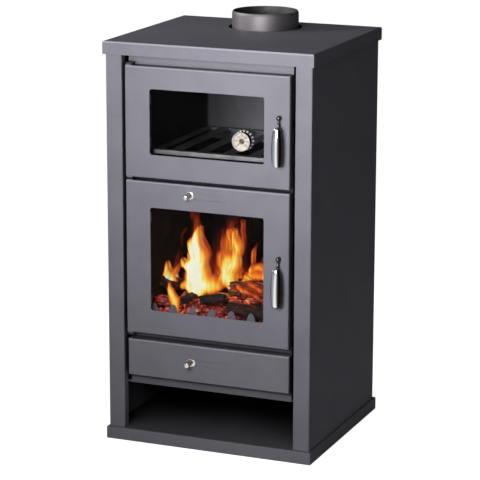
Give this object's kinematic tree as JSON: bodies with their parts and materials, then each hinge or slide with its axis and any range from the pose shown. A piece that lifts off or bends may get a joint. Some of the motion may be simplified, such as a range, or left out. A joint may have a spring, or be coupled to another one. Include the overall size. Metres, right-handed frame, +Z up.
{
  "type": "steel wood stove",
  "caption": "Free-standing steel wood stove: glazed oven above a glazed firebox, ash drawer, open wood niche, flue collar on top, doors that swing, turning handles, air slides.",
  "frame": {"origin": "on the floor, at the middle of the outer box of the whole stove", "axes": "+Z up, the doors face -Y, +X to the right as seen from the front"},
  "size_m": [0.48, 0.453, 0.921],
  "materials": {
    "plate_paint": "satin",
    "casing_paint": "satin",
    "door_paint": "satin",
    "body_paint": "matt",
    "oven_steel": "satin",
    "rack_steel": "satin",
    "grate_iron": "rough",
    "fire_brick": "rough",
    "baffle_steel": "scaled",
    "bare_steel": "satin",
    "pan_steel": "dull",
    "slide_steel": "dull",
    "knob_steel": "polished",
    "rope": "woven",
    "door_glass": "clear",
    "handle_chrome": "polished",
    "arm_steel": "satin",
    "gauge_steel": "polished",
    "gauge_fins": "satin",
    "flue_paint": "satin",
    "dial_face": "matt",
    "pointer_paint": "satin",
    "lens_glass": "clear"
  },
  "bodies": {
    "cabinet": {"top_plate": "plate_paint", "base_plate": "plate_paint", "side_panel_left": "casing_paint", "side_panel_right": "casing_paint", "back_panel": "casing_paint", "niche_ceiling": "casing_paint", "front_plate": "body_paint", "hinge_pins": "bare_steel", "latch_keepers": "bare_steel", "firebox_shell": "body_paint", "body_top": "body_paint", "flue_collar": "flue_paint", "oven_box": "oven_steel", "oven_rack": "rack_steel", "rack_ledges": "oven_steel", "firebox_floor": "body_paint", "fire_grate": "grate_iron", "side_bricks": "fire_brick", "back_bricks": "fire_brick", "floor_bricks": "fire_brick", "baffle_plate": "baffle_steel", "log_guard": "door_paint", "drawer_runners": "bare_steel"},
    "oven_door": {"oven_door_panel": "door_paint", "oven_door_seal_channel": "body_paint", "oven_door_rope_seal": "rope", "oven_door_gasket": "rope", "oven_door_glass": "door_glass", "oven_door_clips": "bare_steel", "thermometer_case": "gauge_steel", "thermometer_fin_ring": "gauge_fins", "thermometer_dial": "dial_face", "thermometer_lens": "lens_glass", "thermometer_nut": "bare_steel"},
    "oven_handle": {"oven_handle_arm": "arm_steel", "oven_handle_grip": "handle_chrome", "oven_latch_tongue": "bare_steel"},
    "thermometer_pointer": {"thermometer_needle": "pointer_paint"},
    "fire_door": {"fire_door_panel": "door_paint", "fire_door_seal_channel": "body_paint", "fire_door_rope_seal": "rope", "fire_door_gasket": "rope", "fire_door_glass": "door_glass", "fire_door_clips": "bare_steel", "fire_air_rails": "slide_steel"},
    "fire_handle": {"fire_handle_arm": "arm_steel", "fire_handle_grip": "handle_chrome", "fire_latch_tongue": "bare_steel"},
    "fire_slide": {"fire_air_slide": "door_paint", "fire_air_knob": "knob_steel"},
    "ash_drawer": {"ash_drawer_front": "door_paint", "ash_pan": "pan_steel", "ash_air_rails": "slide_steel"},
    "ash_slide": {"ash_air_slide": "door_paint", "ash_air_knob": "knob_steel"}
  },
  "joints": [
    {"name": "oven_door_hinge", "type": "hinge", "parent": "cabinet", "child": "oven_door", "pos_m": [-0.18, -0.194, 0.716], "axis": [0, 0, -1], "range_deg": [0, 110]},
    {"name": "oven_handle_turn", "type": "hinge", "parent": "oven_door", "child": "oven_handle", "pos_m": [0.1655, -0.2015, 0.7485], "axis": [0, -1, 0], "range_deg": [0, 75]},
    {"name": "thermometer_turn", "type": "hinge", "parent": "oven_door", "child": "thermometer_pointer", "pos_m": [0.086, -0.2143, 0.695], "axis": [0, 1, 0], "range_deg": [0, 270], "stiffness_Nm_per_rad": 0.001},
    {"name": "fire_door_hinge", "type": "hinge", "parent": "cabinet", "child": "fire_door", "pos_m": [-0.18, -0.194, 0.419], "axis": [0, 0, -1], "range_deg": [0, 110]},
    {"name": "fire_handle_turn", "type": "hinge", "parent": "fire_door", "child": "fire_handle", "pos_m": [0.1655, -0.2015, 0.4475], "axis": [0, -1, 0], "range_deg": [0, 75]},
    {"name": "fire_air_travel", "type": "slide", "parent": "fire_door", "child": "fire_slide", "axis": [1, 0, 0], "range_m": [0, 0.082]},
    {"name": "ash_drawer_travel", "type": "slide", "parent": "cabinet", "child": "ash_drawer", "axis": [0, -1, 0], "range_m": [0, 0.25]},
    {"name": "ash_air_travel", "type": "slide", "parent": "ash_drawer", "child": "ash_slide", "axis": [1, 0, 0], "range_m": [0, 0.082]}
  ]
}
